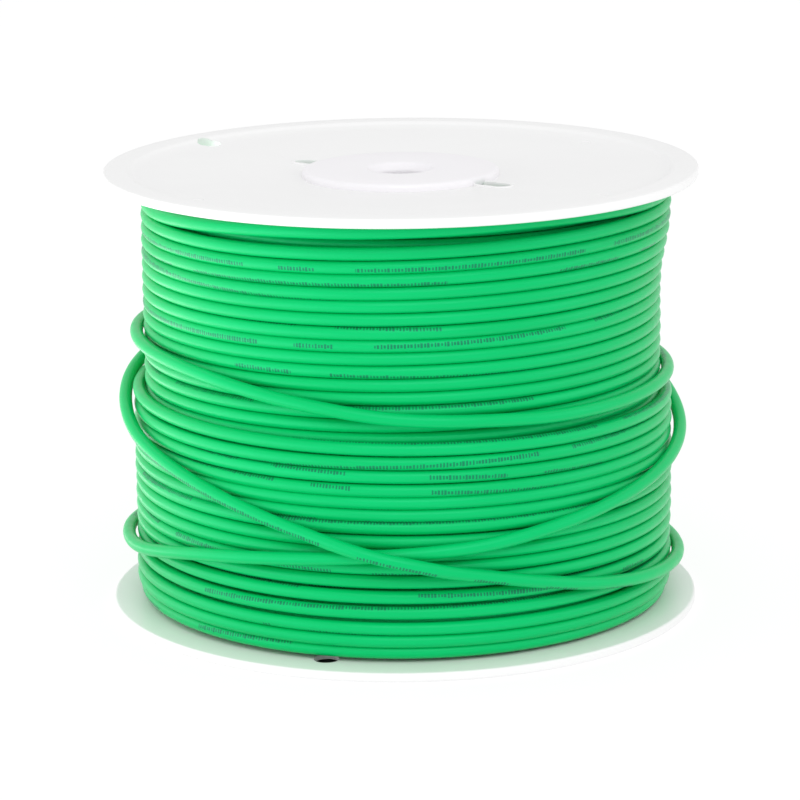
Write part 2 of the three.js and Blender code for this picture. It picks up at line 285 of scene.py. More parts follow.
def tube(path, radius, sides, start=0.0, bore=None):
    """A tube along a path as a part for new_mesh, its UVs metres along and turns round.
    radius is one number, or one for each ring and side. With a bore, (radius, depth), the
    far end is hollow to that depth; otherwise both ends are closed."""
    first, second = ring_frames(path)
    angle = np.arange(sides) * 2 * np.pi / sides
    spokes = (
        first[:, None] * np.cos(angle)[None, :, None]
        + second[:, None] * np.sin(angle)[None, :, None]
    )
    radius = np.broadcast_to(radius, (len(path), sides))
    grid = path[:, None] + radius[:, :, None] * spokes
    distance = along(path) + start
    if bore is not None:
        bore_radius, depth = bore
        inward = path[-2] - path[-1]
        inward /= np.linalg.norm(inward)
        mouth = path[-1] + bore_radius * spokes[-1]
        grid = np.concatenate([grid, mouth[None], (mouth + inward * depth)[None]])
        distance = np.append(distance, [distance[-1], distance[-1] - depth])
    rings = len(grid)
    ring, side = np.meshgrid(np.arange(rings - 1), np.arange(sides), indexing="ij")
    after = (side + 1) % sides
    quads = np.stack([
        ring * sides + side,
        ring * sides + after,
        (ring + 1) * sides + after,
        (ring + 1) * sides + side,
    ], axis=-1).reshape(-1, 4)
    low, high = distance[ring], distance[ring + 1]
    left, right = side / sides, (side + 1) / sides
    uvs = np.stack([
        np.stack([low, left], -1),
        np.stack([low, right], -1),
        np.stack([high, right], -1),
        np.stack([high, left], -1),
    ], axis=2).reshape(-1, 2)
    points = np.vstack([grid.reshape(-1, 3), grid[0].mean(0), grid[-1].mean(0)])
    turn = np.arange(sides)
    after = (turn + 1) % sides
    last_ring = (rings - 1) * sides
    start_point, end_point = rings * sides, rings * sides + 1
    triangles = np.vstack([
        np.column_stack([after, turn, np.full(sides, start_point)]),
        np.column_stack([last_ring + turn, last_ring + after, np.full(sides, end_point)]),
    ])
    cap_uvs = np.full((6 * sides, 2), 0.5)
    cap_uvs[:3 * sides, 0] = distance[0]
    cap_uvs[3 * sides:, 0] = distance[-1]
    return points, quads, triangles, np.vstack([uvs, cap_uvs])


def rounded(corners, steps=5):
    """An outline of (radius, height, rounding) corners in mm, with its corners rounded."""
    points = []
    count = len(corners)
    for i, (x, y, rounding) in enumerate(corners):
        here = np.array((x, y), float)
        if rounding == 0:
            points.append(here)
            continue
        before = np.array(corners[i - 1][:2], float) - here
        after = np.array(corners[(i + 1) % count][:2], float) - here
        start = here + before / np.linalg.norm(before) * rounding
        end = here + after / np.linalg.norm(after) * rounding
        for share in np.linspace(0, 1, steps + 1):
            points.append(
                start * (1 - share) ** 2 + 2 * here * share * (1 - share) + end * share**2
            )
    return np.array(points)


def turned(name, corners, segments=256):
    """A closed outline in mm turned round the reel's axis, as a bmesh mesh in metres."""
    outline = rounded(corners) * MM
    count = len(outline)
    angle = np.arange(segments) * 2 * np.pi / segments
    grid = np.stack([
        outline[None, :, 0] * np.cos(angle)[:, None],
        outline[None, :, 0] * np.sin(angle)[:, None],
        np.broadcast_to(outline[None, :, 1], (segments, count)),
    ], axis=-1).reshape(-1, 3)
    faces = []
    for i in range(segments):
        for j in range(count):
            following, beside = (i + 1) % segments, (j + 1) % count
            faces.append((
                i * count + j,
                following * count + j,
                following * count + beside,
                i * count + beside,
            ))
    return faced_mesh(name, grid.tolist(), faces)


def faced_mesh(name, points, faces):
    """A smooth mesh with all its faces turned outwards."""
    mesh = bpy.data.meshes.new(name)
    mesh.from_pydata(points, [], faces)
    work = bmesh.new()
    work.from_mesh(mesh)
    bmesh.ops.recalc_face_normals(work, faces=work.faces)
    work.to_mesh(mesh)
    work.free()
    mesh.polygons.foreach_set("use_smooth", np.ones(len(mesh.polygons), bool))
    return mesh


def combined(mesh, operation, tools):
    """The mesh after each tool mesh has been cut from it or added to it."""
    body = bpy.data.objects.new("work", mesh)
    bpy.context.scene.collection.objects.link(body)
    helpers = []
    for tool in tools:
        helper = bpy.data.objects.new("tool", tool)
        bpy.context.scene.collection.objects.link(helper)
        helpers.append(helper)
        modifier = body.modifiers.new("step", "BOOLEAN")
        modifier.operation = operation
        modifier.solver = "EXACT"
        modifier.object = helper
    graph = bpy.context.evaluated_depsgraph_get()
    result = bpy.data.meshes.new_from_object(body.evaluated_get(graph))
    for thing in [body, *helpers]:
        bpy.data.objects.remove(thing)
    return result


# ---- Materials ----


class Graph:
    """A Principled material under construction."""

    def __init__(self, name, colour, roughness, **values):
        self.material = bpy.data.materials.new(name)
        self.material.use_nodes = True
        self.tree = self.material.node_tree
        self.shader = self.tree.nodes["Principled BSDF"]
        self.shader.inputs["Base Color"].default_value = (*colour, 1)
        self.shader.inputs["Roughness"].default_value = roughness
        for socket, value in values.items():
            self.shader.inputs[socket.replace("_", " ")].default_value = value

    def add(self, kind, inputs=(), **settings):
        node = self.tree.nodes.new("ShaderNode" + kind)
        for key, value in settings.items():
            setattr(node, key, value)
        for socket, value in dict(inputs).items():
            self.feed(node.inputs[socket], value)
        return node

    def feed(self, socket, value):
        if isinstance(value, bpy.types.NodeSocket):
            self.tree.links.new(value, socket)
        else:
            socket.default_value = value

    def math(self, operation, *values):
        node = self.add("Math", operation=operation)
        for socket, value in zip(node.inputs, values):
            self.feed(socket, value)
        return node.outputs[0]

    def spread(self, value, low, high):
        """A noise's usual range, 0.3 to 0.7, spread out from low to high."""
        node = self.add("MapRange", {
            "Value": value, "From Min": 0.3, "From Max": 0.7, "To Min": low, "To Max": high,
        })
        return node.outputs["Result"]

    def place(self):
        """The point on the object, for noise to be laid over."""
        return self.add("TexCoord").outputs["Object"]

    def noise(self, scale, detail):
        """Noise over the surface; scale is in features per metre."""
        node = self.add("TexNoise", {
            "Vector": self.place(), "Scale": scale, "Detail": detail,
        })
        return node.outputs["Fac"]

    def mix(self, share, first, second):
        node = self.add("Mix", data_type="RGBA")
        self.feed(node.inputs["Factor"], share)
        self.feed(node.inputs["A"], first)
        self.feed(node.inputs["B"], second)
        return node.outputs["Result"]

    def bump(self, height, distance):
        """A fine relief, its height going from 0 to the distance in metres."""
        node = self.add("Bump", {"Height": height, "Distance": distance, "Strength": 1.0})
        self.feed(self.shader.inputs["Normal"], node.outputs["Normal"])

    def vary(self, first, second, scale, low_rough, high_rough, grain, grain_depth):
        """Colour, roughness and a fine bump, all varied by noise."""
        blotches = self.spread(self.noise(scale, 3.0), 0, 1)
        self.feed(self.shader.inputs["Base Color"], self.mix(blotches, (*first, 1), (*second, 1)))
        roughness = self.spread(self.noise(scale * 2.3, 4.0), low_rough, high_rough)
        self.feed(self.shader.inputs["Roughness"], roughness)
        self.bump(self.noise(grain, 3.0), grain_depth)
        return self


WHITE_ROUGHNESS = (0.32, 0.4)
WHITE_GRAIN_DEPTH = 0.000012


def plastic(name, first, second):
    """Moulded white plastic: faint blotches, a gloss that varies softly, and a fine grain."""
    graph = Graph(name, first, WHITE_ROUGHNESS[0], IOR=1.49)
    blotches = graph.spread(graph.noise(14, 4.0), 0, 1)
    colour = graph.mix(blotches, (*first, 1), (*second, 1))
    graph.feed(graph.shader.inputs["Base Color"], colour)
    roughness = graph.spread(graph.noise(45, 1.0), *WHITE_ROUGHNESS)
    graph.feed(graph.shader.inputs["Roughness"], roughness)
    graph.bump(graph.noise(700, 2.0), WHITE_GRAIN_DEPTH)
    return graph.material


JACKET_GREEN = (0.0, 0.535, 0.142)
JACKET_GREEN_DEEP = (0.0, 0.5, 0.126)
PRINT_INK = (0.012, 0.13, 0.075)
JACKET_ROUGHNESS = (0.3, 0.38)
JACKET_GRAIN_DEPTH = 0.00003

# The printed line: lengths along the cable in metres, and shares of a turn round it.
MARK_CELL = 0.0013
MARK_GROUP = 0.016
MARK_RUN = 0.21
MARK_HALF_TURN = 0.06
MARK_TURNS_A_METRE = 0.43
MARK_WANDER_TURNS = 3.2
MARK_WANDERS_A_METRE = 0.8
# A tick's least height and width as shares of its room, and what chance adds to them.
MARK_HEIGHT = 0.55
MARK_HEIGHT_CHANCE = 0.45
MARK_WIDTH = 0.4
MARK_WIDTH_CHANCE = 0.35
# The share of groups and of longer runs left blank, and how dark the ink is.
BLANK_GROUPS = 0.2
BLANK_RUNS = 0.12
INK_STRENGTH = 0.8
HEIGHT_SEED = 3.5
WIDTH_SEED = 40.5
GROUP_SEED = 90.5
RUN_SEED = 7.5


def jacket():
    """The green jacket: satin, with a printed line of plain ticks that wanders round it."""
    graph = Graph("jacket", JACKET_GREEN, 0.42, IOR=1.47, Specular_IOR_Level=0.4)
    graph.feed(graph.shader.inputs["Specular Tint"], (0.3, 1.0, 1.0, 1))
    uv = graph.add("UVMap", uv_map="cable").outputs["UV"]
    parts = graph.add("SeparateXYZ", {"Vector": uv})
    length, turn = parts.outputs["X"], parts.outputs["Y"]

    def chance(cell_length, seed):
        """A random number for each cell along the cable."""
        cell = graph.math("FLOOR", graph.math("DIVIDE", length, cell_length))
        cell = graph.math("ADD", cell, seed)
        return graph.add("TexWhiteNoise", {"W": cell}, noise_dimensions="1D").outputs["Value"]

    def noise_along(scale, detail):
        """Noise that changes only along the cable; scale is in features per metre."""
        inputs = {"W": length, "Scale": scale, "Detail": detail}
        return graph.add("TexNoise", inputs, noise_dimensions="1D").outputs["Fac"]

    wandering = graph.math("MULTIPLY", noise_along(MARK_WANDERS_A_METRE, 1.0), MARK_WANDER_TURNS)
    centre = graph.math("ADD", wandering, graph.math("MULTIPLY", length, MARK_TURNS_A_METRE))
    offset = graph.math("SUBTRACT", turn, centre)
    offset = graph.math("ABSOLUTE", graph.math("SUBTRACT", graph.math("FRACT", offset), 0.5))
    height = graph.math("MULTIPLY_ADD", chance(MARK_CELL, HEIGHT_SEED),
                        MARK_HEIGHT_CHANCE * MARK_HALF_TURN, MARK_HEIGHT * MARK_HALF_TURN)
    inside = graph.math("LESS_THAN", offset, height)
    within = graph.math("FRACT", graph.math("DIVIDE", length, MARK_CELL))
    width = graph.math("MULTIPLY_ADD", chance(MARK_CELL, WIDTH_SEED),
                       MARK_WIDTH_CHANCE, MARK_WIDTH)
    tick = graph.math("LESS_THAN", within, width)
    group = graph.math("GREATER_THAN", chance(MARK_GROUP, GROUP_SEED), BLANK_GROUPS)
    run = graph.math("GREATER_THAN", chance(MARK_RUN, RUN_SEED), BLANK_RUNS)
    ink = graph.math("MULTIPLY", graph.math("MULTIPLY", inside, tick),
                     graph.math("MULTIPLY", group, run))

    drift = graph.spread(noise_along(9.0, 3.0), 0, 1)
    green = graph.mix(drift, (*JACKET_GREEN, 1), (*JACKET_GREEN_DEEP, 1))
    colour = graph.mix(graph.math("MULTIPLY", ink, INK_STRENGTH), green, (*PRINT_INK, 1))
    graph.feed(graph.shader.inputs["Base Color"], colour)
    roughness = graph.spread(graph.noise(180, 3.0), *JACKET_ROUGHNESS)
    graph.feed(graph.shader.inputs["Roughness"], roughness)
    graph.bump(graph.noise(1400, 3.0), JACKET_GRAIN_DEPTH)
    return graph.material


def metal(name, first, second, rough, grain, depth):
    """Bare metal: rough is its least and greatest roughness, grain and depth its relief."""
    graph = Graph(name, first, rough[0], Metallic=1.0)
    return graph.vary(first, second, 300, *rough, grain, depth).material


def core_plastic(name, colour):
    """The coloured plastic of one insulated core."""
    darker = tuple(0.82 * part for part in colour)
    graph = Graph(name, colour, 0.4, IOR=1.5)
    return graph.vary(colour, darker, 260, 0.35, 0.48, 5000, 0.000008).material


JACKET = jacket()

# ---- Winding ----

TURNS_A_LAYER = 32
CHANGE_ANGLE = UPPER_SLOT_ANGLE
FRONT_ANGLE = -90.0
LAYER_PITCH_MM = (FULL_LAYERS_MM - HALF_MM - BARREL_RADIUS_MM - CLEARANCE_MM - HALF_MM) / (
    LAYERS - 1
)
CHANGE_TURNS = 0.3
NESTED_MM = 4.72
RIDE_UP_MM = 0.5
TUBE_RADIUS = 2.73 * MM
# How many knots a turn the winding's irregularity has, and its size in mm.
HEIGHT_WANDER = (1.7, 0.26)
RADIUS_WANDER = (2.3, 0.1)
TOP_HEIGHT_WANDER = (1.9, 0.22)
TOP_RADIUS_WANDER = (2.1, 0.12)
# The outermost full layer's first turn rides up against the flange at the front. Its first
# DROOP_TURNS turns hang a little at the front left, and its upper turns lie slack on the right.
# Each REACH and EASE is a share of a turn.
FIRST_TURN_LIFT_MM = 3.2
FIRST_TURN_REACH = 0.22
FIRST_TURN_EASE = 0.16
DROOP_MM = 1.9
DROOP_PLACE = 0.78
DROOP_REACH = 0.3
DROOP_TURNS = 11
SLACK_MM = 4.2
SLACK_REACH = 0.2
SLACK_FROM_MM = 138.0
SLACK_RISE_MM = 34.0

# Heights of the unfinished layer's turns where they pass the front, from the lowest up, and
# its height END_TURNS before its end.
UNFINISHED_MM = (
    8.2, 13, 18.6, 25, 31.6, 38, 43.6, 49.2, 54.7, 60.4, 65.7, 70.7, 75.9, 81.3, 86.9, 92.6,
)
BEFORE_END_MM = 95.6
END_TURNS = 0.3
# Its first turns are drawn inwards, so the drawn cable passes into the turns below them there.
FOOT_MM = 2.2
FOOT_TURNS = 2.2
# One turn counts as this much height in the curve through those heights.
TURN_WEIGHT = 10

random = np.random.default_rng(7)


def flange_inside(radius):
    """The height in mm of the lower flange's inner face."""
    share = (WEB_OUTER_MM - radius) / (WEB_OUTER_MM - BARREL_RADIUS_MM)
    cone = WEB_OUTER_DEPTH_MM + share * (WEB_HUB_DEPTH_MM - WEB_OUTER_DEPTH_MM)
    return np.maximum(cone + WEB_THICKNESS_MM, RIM_THICKNESS_MM)


def ease(share):
    """The share from 0 to 1, with a soft start and end."""
    share = np.clip(share, 0, 1)
    return share * share * (3 - 2 * share)


def wander(turns, knots_a_turn, size):
    """Smooth seeded irregularity along the turns."""
    place = (turns - turns[0]) * knots_a_turn
    values = random.uniform(-size, size, int(place[-1]) + 3)
    whole = place.astype(int)
    share = ease(place - whole)
    return values[whole] * (1 - share) + values[whole + 1] * share


def full_layers(first, last, steps):
    """The cable's path through full layers, steps points a turn. Odd layers run downwards."""
    count = (last - first + 1) * TURNS_A_LAYER * steps + 1
    turns = np.linspace((first - 1) * TURNS_A_LAYER, last * TURNS_A_LAYER, count)
    layer = np.clip(np.floor(turns / TURNS_A_LAYER), first - 1, last - 1)
    done = turns - layer * TURNS_A_LAYER
    left = TURNS_A_LAYER - done
    climb = 0.5 * ease(1 - left / CHANGE_TURNS) - 0.5 * ease(1 - done / CHANGE_TURNS)
    climb *= np.where((layer == 0) & (done < 1), 0, 1)
    radius = BARREL_RADIUS_MM + CLEARANCE_MM + HALF_MM + LAYER_PITCH_MM * (layer + climb)
    low = flange_inside(radius) + CLEARANCE_MM + HALF_MM
    share = done / TURNS_A_LAYER
    down = layer % 2 == 0
    share = np.where(down, 1 - share, share)
    height = low + (REEL_HEIGHT_MM - 2 * low) * share
    if last >= LAYERS - 1:
        edge = ease(done) * ease(left)
        height = height + edge * wander(turns, *HEIGHT_WANDER)
        radius = radius + wander(turns, *RADIUS_WANDER)
    if last == LAYERS:
        from_front = np.abs(done - (CHANGE_ANGLE - FRONT_ANGLE) / 360)
        lift = ease((FIRST_TURN_REACH - from_front) / FIRST_TURN_EASE)
        height = height + FIRST_TURN_LIFT_MM * lift
        to_droop = np.abs((done - DROOP_PLACE + 0.5) % 1 - 0.5)
        near_droop = ease(1 - to_droop / DROOP_REACH)
        height = height - DROOP_MM * near_droop * ease(1 - done / DROOP_TURNS)
        to_side = np.abs((CHANGE_ANGLE / 360 - done + 0.5) % 1 - 0.5)
        near_side = ease(1 - to_side / SLACK_REACH)
        slack = near_side * ease((height - SLACK_FROM_MM) / SLACK_RISE_MM)
        radius = radius + SLACK_MM * slack
    return from_polar(np.column_stack([CHANGE_ANGLE - 360 * turns, radius, height]))


def unfinished_layer(steps):
    """The top layer runs upwards and stops half way up, where the first loose turn begins."""
    to_front = (CHANGE_ANGLE - FRONT_ANGLE) / 360
    fronts = to_front + np.arange(len(UNFINISHED_MM))
    end = fronts[-1] + (FRONT_ANGLE + 360 - LOOSE_ROUTE[0][0]) / 360
    lowest = RIM_THICKNESS_MM + CLEARANCE_MM + HALF_MM
    knots = np.concatenate([[-0.4, 0.1], fronts, [end - END_TURNS, end]])
    heights = np.concatenate([
        [lowest, lowest], UNFINISHED_MM, [BEFORE_END_MM, LOOSE_ROUTE[0][2]],
    ])
    dense = smooth_curve(np.column_stack([knots * TURN_WEIGHT, heights]), 30)
    turns = np.linspace(0, end, int(end * steps) + 1)
    height = np.interp(turns * TURN_WEIGHT, dense[:, 0], dense[:, 1])
    edge = ease(turns - 1) * ease(end - turns)
    height = height + edge * wander(turns, *TOP_HEIGHT_WANDER)
    below = LAYER_PITCH_MM * (LAYERS - 1) + BARREL_RADIUS_MM + CLEARANCE_MM + HALF_MM
    groove = (REEL_HEIGHT_MM - 2 * lowest) / TURNS_A_LAYER
    crossing = height / groove + turns
    radius = below + NESTED_MM + RIDE_UP_MM * (0.5 - 0.5 * np.cos(2 * np.pi * crossing))
    sunk = (LOOSE_ROUTE[0][1] - radius) * ease((turns - end + END_TURNS) / END_TURNS)
    foot = -FOOT_MM * (1 - ease(turns / FOOT_TURNS))
    radius = radius + sunk + foot + wander(turns, *TOP_RADIUS_WANDER)
    joined = ease(turns / CHANGE_TURNS)
    radius = radius * joined + (below + 0.5 * LAYER_PITCH_MM) * (1 - joined)
    polar = np.column_stack([CHANGE_ANGLE - 360 * turns, radius, height])
    polar[-1, 1] = LOOSE_ROUTE[0][1]
    return from_polar(polar)


def end_frame():
    """The free end's start and direction: it touches the winding END_TOUCH_MM from its start."""
    angle = math.radians(END_ANGLE)
    direction = Vector((math.sin(angle), -math.cos(angle), 0))
    touch = Vector((math.cos(angle), math.sin(angle), 0)) * ON_LAYER_MM
    start = touch - direction * END_TOUCH_MM
    start.z = END_HEIGHT_MM
    turn = Vector((0, 0, 1)).rotation_difference(direction).to_matrix()
    return np.array(start), np.array(turn)


END_START, END_TURN = end_frame()


def at_end(local):
    """Points in mm, with Z along the free end from its start, in the reel's frame in metres."""
    return (np.asarray(local, float) @ END_TURN.T + END_START) * MM


loose_path = from_polar(smooth_curve(LOOSE_ROUTE, 60))
straight = at_end([(0, 0, z) for z in np.linspace(0.5, END_JACKET_MM, 28)])
loose_path = softened(resampled(np.vstack([loose_path, straight]), 3 * MM), 3)

layer_12 = full_layers(12, 12, 96)
layer_13 = full_layers(13, 13, 144)
layer_14 = unfinished_layer(144)
layer_14[0] = layer_13[-1]
loose_path[0] = layer_14[-1]

# Each cord's name, path, number of sides, and the CAD nodes that it stands for.
CORDS = [
    ("cable_layers_1_to_5", full_layers(1, 5, 40), 8, ["winding_layers_1_to_5"]),
    ("cable_layers_6_to_8", full_layers(6, 8, 48), 8, ["winding_layers_6_to_8"]),
    ("cable_layers_9_to_11", full_layers(9, 11, 56), 8, ["winding_layers_9_to_11"]),
    ("cable_layer_12", layer_12, 12, ["winding_layer_12"]),
    ("cable_layer_13", layer_13, 16, ["winding_layer_13"]),
    ("cable_layer_14", layer_14, 16, ["winding_layer_14"]),
    ("cable_loose_turns", loose_path, 20,
     ["loose_turn_1", "loose_turn_2", "loose_turn_3", "end_jacket"]),
]

# ---- Free end: braid, foiled pairs and their cores ----

BRAID_START_MM = 11.0
BRAID_LAY_MM = 15.0
BRAID_CARRIERS = 8
BRAID_WIRES = 4
BRAID_WIRE_MM = 0.13
BRAID_CENTRE_MM = 2.1
BRAID_WEAVE_MM = 0.07
BRAID_SPACING = 1.15
BRAID_STEP_MM = 0.22
BRAID_RAGGED_MM = (-0.2, 0.5)
FRAY_FROM_MM = 1
FRAY_REACH_MM = 2.5
FRAY_MM = 0.35
FOIL_START_MM = 17.0
FOIL_RINGS = 90
FOIL_SIDES = 48
FOIL_INSET_MM = 0.06
FOIL_OVERLAP_MM = 0.07
FOIL_WRAP_LAY_MM = 30
FOIL_CRUMPLE_MM = 0.035
FOIL_CRUMPLE_CELLS = (30, 12)
FOIL_BORE_MM = 0.74
FOIL_BORE_DEPTH_MM = 2
CORE_START_MM = 23.0
CORE_STEP_MM = 0.4
CORE_BORE_MM = 0.2
CORE_BORE_DEPTH_MM = 0.6
CONDUCTOR_START_MM = 31.0
STRAND_MM = 0.13
STRAND_LAY_MM = 7.0
STRAND_STEP_MM = 0.3
STRAND_SIDES = 8
SPLAY = 0.5
SPLAY_FROM_MM = 1.5
SPLAY_REACH_MM = 2
JACKET_BORE_DEPTH_MM = 3.4


def helix(radius, lay, start_angle, low, high, step):
    """Points of a helix along +Z, in mm; a negative lay turns the other way."""
    z = np.linspace(low, high, max(3, int((high - low) / step) + 1))
    angle = start_angle + 2 * np.pi * z / lay
    return np.column_stack([radius * np.cos(angle), radius * np.sin(angle), z])


def braid_mesh():
    """Flat bundles of fine wires, woven one over, one under, with a slightly frayed end."""
    parts = []
    spacing = BRAID_WIRE_MM * BRAID_SPACING / BRAID_CENTRE_MM
    for way in (1, -1):
        for carrier in range(BRAID_CARRIERS):
            for wire in range(BRAID_WIRES):
                end = END_BRAID_MM + random.uniform(*BRAID_RAGGED_MM)
                z = np.arange(BRAID_START_MM, end, BRAID_STEP_MM)
                turn = 2 * np.pi * z / BRAID_LAY_MM
                weave = way * BRAID_WEAVE_MM * np.cos(BRAID_CARRIERS * turn)
                fray = ease((z - END_BRAID_MM + FRAY_FROM_MM) / FRAY_REACH_MM)
                fray = fray * random.uniform(0, FRAY_MM)
                angle = way * turn + carrier * 2 * np.pi / BRAID_CARRIERS
                angle = angle + (wire - (BRAID_WIRES - 1) / 2) * spacing
                radius = BRAID_CENTRE_MM + weave + fray
                local = np.column_stack([radius * np.cos(angle), radius * np.sin(angle), z])
                parts.append(tube(at_end(local), BRAID_WIRE_MM / 2 * MM, 6))
    return new_mesh("braid", parts)


def foil_mesh(centre):
    """Foil wrapped round one pair: an overlap runs along it, and it is a little crumpled."""
    z = np.linspace(FOIL_START_MM, END_FOIL_MM, FOIL_RINGS)
    x, y = centre
    path = at_end(np.column_stack([np.full(FOIL_RINGS, x), np.full(FOIL_RINGS, y), z]))
    around = np.arange(FOIL_SIDES) / FOIL_SIDES
    overlap = FOIL_OVERLAP_MM * ((around[None, :] + z[:, None] / FOIL_WRAP_LAY_MM) % 1)
    rows, columns = FOIL_CRUMPLE_CELLS
    crumple = random.normal(0, 1, (rows, columns))
    crumple = np.repeat(crumple, FOIL_RINGS // rows, axis=0)
    crumple = np.repeat(crumple, FOIL_SIDES // columns, axis=1)
    for _ in range(3):
        crumple = crumple + np.roll(crumple, 1, 1) + np.roll(crumple, -1, 1)
        crumple[1:-1] += crumple[2:] + crumple[:-2]
        crumple /= np.abs(crumple).max()
    radius = (FOIL_MM / 2 - FOIL_INSET_MM + overlap + FOIL_CRUMPLE_MM * crumple) * MM
    bore = (FOIL_BORE_MM * MM, FOIL_BORE_DEPTH_MM * MM)
    return new_mesh("foil", [tube(path, radius, FOIL_SIDES, bore=bore)])


def core_path(centre, lay, start_angle, low, high):
    """The way of one core, twisted with the other of its pair."""
    path = helix(PAIR_OFFSET_MM, lay, start_angle, low, high, CORE_STEP_MM)
    return at_end(path + (*centre, 0))


def strands_mesh(centre, lay, start_angle):
    """Seven fine copper wires, six of them twisted round the first."""
    parts = []
    low, high = CONDUCTOR_START_MM, END_CONDUCTOR_MM
    core = helix(PAIR_OFFSET_MM, lay, start_angle, low, high, STRAND_STEP_MM) + (*centre, 0)
    parts.append(tube(at_end(core), STRAND_MM / 2 * MM, STRAND_SIDES))
    for strand in range(6):
        start = strand * np.pi / 3
        turn = helix(STRAND_MM, STRAND_LAY_MM, start, low, high, STRAND_STEP_MM)
        splay = ease((turn[:, 2] - high + SPLAY_FROM_MM) / SPLAY_REACH_MM)
        spread = 1 + SPLAY * splay * random.uniform(0, 1)
        path = core.copy()
        path[:, 0] += turn[:, 0] * spread
        path[:, 1] += turn[:, 1] * spread
        cut = len(path) - int(random.integers(0, 2))
        parts.append(tube(at_end(path[:cut]), STRAND_MM / 2 * MM, STRAND_SIDES))
    return new_mesh("strands", parts)


CORE_COLOURS = {
    "blue": (0.018, 0.09, 0.48),
    "orange": (0.80, 0.19, 0.012),
    "green": (0.014, 0.26, 0.045),
    "brown": (0.155, 0.062, 0.02),
}
COPPER = metal("copper", (0.86, 0.43, 0.25), (0.78, 0.36, 0.2), (0.22, 0.36), 9000, 0.000004)
BRAID = metal("tinned_wire", (0.74, 0.74, 0.75), (0.62, 0.62, 0.64), (0.24, 0.4), 9000, 0.000004)
FOIL = metal("foil", (0.86, 0.87, 0.89), (0.76, 0.77, 0.8), (0.14, 0.28), 2600, 0.00004)
WHITE_CORE = core_plastic("core_white", (0.82, 0.82, 0.79))

end_pieces = [
    new_piece("braid_wires", braid_mesh(), BRAID, ["end_braid"]),
]
for index, colour in enumerate(PAIR_COLOURS):
    quarter = math.pi / 4 + index * math.pi / 2
    centre = (FOIL_OFFSET_MM * math.cos(quarter), FOIL_OFFSET_MM * math.sin(quarter))
    lay = PAIR_LAYS_MM[index]
    wrap = new_piece(
        f"foil_wrap_{colour}", foil_mesh(centre), FOIL, [f"pair_foil_{colour}"],
    )
    end_pieces.append(wrap)
    cores = [
        (colour, core_plastic(f"core_{colour}", CORE_COLOURS[colour]), f"insulation_{colour}", 0),
        (f"white_{colour}", WHITE_CORE, "insulation_white", math.pi),
    ]
    for core, material, slot, start_angle in cores:
        path = core_path(centre, lay, start_angle, CORE_START_MM, END_INSULATION_MM)
        bore = (CORE_BORE_MM * MM, CORE_BORE_DEPTH_MM * MM)
        sleeve = new_mesh("core", [tube(path, INSULATION_MM / 2 * MM, 20, bore=bore)])
        end_pieces.append(
            new_piece(f"core_sleeve_{core}", sleeve, material, [f"insulation_{core}"])
        )
        wires = strands_mesh(centre, lay, start_angle)
        end_pieces.append(
            new_piece(f"core_wires_{core}", wires, COPPER, [f"conductor_{core}"])
        )

used = 0.0
for name, path, sides, nodes in CORDS:
    loose = name == "cable_loose_turns"
    bore = (JACKET_BORE_MM / 2 * MM, JACKET_BORE_DEPTH_MM * MM) if loose else None
    mesh = new_mesh(name, [tube(path, TUBE_RADIUS, sides, start=used, bore=bore)])
    piece = new_piece(name, mesh, JACKET, nodes)
    length = along(path)[-1]
    used += length

# ---- Reel ----

LIP_MM = 1.5
LIP_HEIGHT_MM = 0.8
# The lip's edge is rounded in two steps.
LIP_ROUND_MM = 0.35
LIP_STEP_IN_MM = 0.1
LIP_STEP_UP_MM = 0.15
WEB_FOOT_MM = 112.5
WEB_FOOT_DEPTH_MM = 1.3
SPIGOT_WALL_MM = 2.5
# The cap stops this far short of the flange that it lies on.
CAP_GAP_MM = 0.02
DRILL_SIDES = 48


def stadium(width, length, steps=20):
    """The outline in mm of a slot with round ends, its length along X."""
    run = (length - width) / 2
    half = np.linspace(-np.pi / 2, np.pi / 2, steps + 1)
    right = np.column_stack([run + width / 2 * np.cos(half), width / 2 * np.sin(half)])
    return np.vstack([right, -right])


def stacked(rings):
    """A closed solid through rings of the same number of points, with flat ends."""
    count = len(rings[0])
    faces = []
    for level in range(len(rings) - 1):
        for i in range(count):
            j = (i + 1) % count
            faces.append((
                level * count + i,
                level * count + j,
                (level + 1) * count + j,
                (level + 1) * count + i,
            ))
    faces.append(tuple(range(count)))
    faces.append(tuple(range((len(rings) - 1) * count, len(rings) * count)))
    return np.vstack(rings), faces


def slot_rings(levels):
    """Rings of a slot's outline for each (growth, height) in mm, in the slot's own frame."""
    rings = []
    for growth, height in levels:
        flat = stadium(SLOT_WIDTH_MM + 2 * growth, SLOT_LENGTH_MM + 2 * growth)
        rings.append(np.column_stack([flat, np.full(len(flat), height)]))
    return rings


def placed(points, angle, radius):
    """Points in mm moved out along X to a radius, turned to an angle, and made metres."""
    turn = math.radians(angle)
    points = np.array(points, float)
    points[:, 0] += radius
    x = points[:, 0] * math.cos(turn) - points[:, 1] * math.sin(turn)
    y = points[:, 0] * math.sin(turn) + points[:, 1] * math.cos(turn)
    return (np.column_stack([x, y, points[:, 2]]) * MM).tolist()


def slot_solid(levels, angle):
    """A solid with a start slot's outline at each level, in its place on the flange."""
    points, faces = stacked(slot_rings(levels))
    return faced_mesh("slot", placed(points, angle, SLOT_RADIUS_MM), faces)


def drill(radius, low, high, angle, place):
    """A round cutter from one height to another."""
    spin = np.arange(DRILL_SIDES) * 2 * np.pi / DRILL_SIDES
    circle = np.column_stack([radius * np.cos(spin), radius * np.sin(spin)])
    rings = [np.column_stack([circle, np.full(DRILL_SIDES, level)]) for level in (low, high)]
    points, faces = stacked(rings)
    return faced_mesh("drill", placed(points, angle, place), faces)


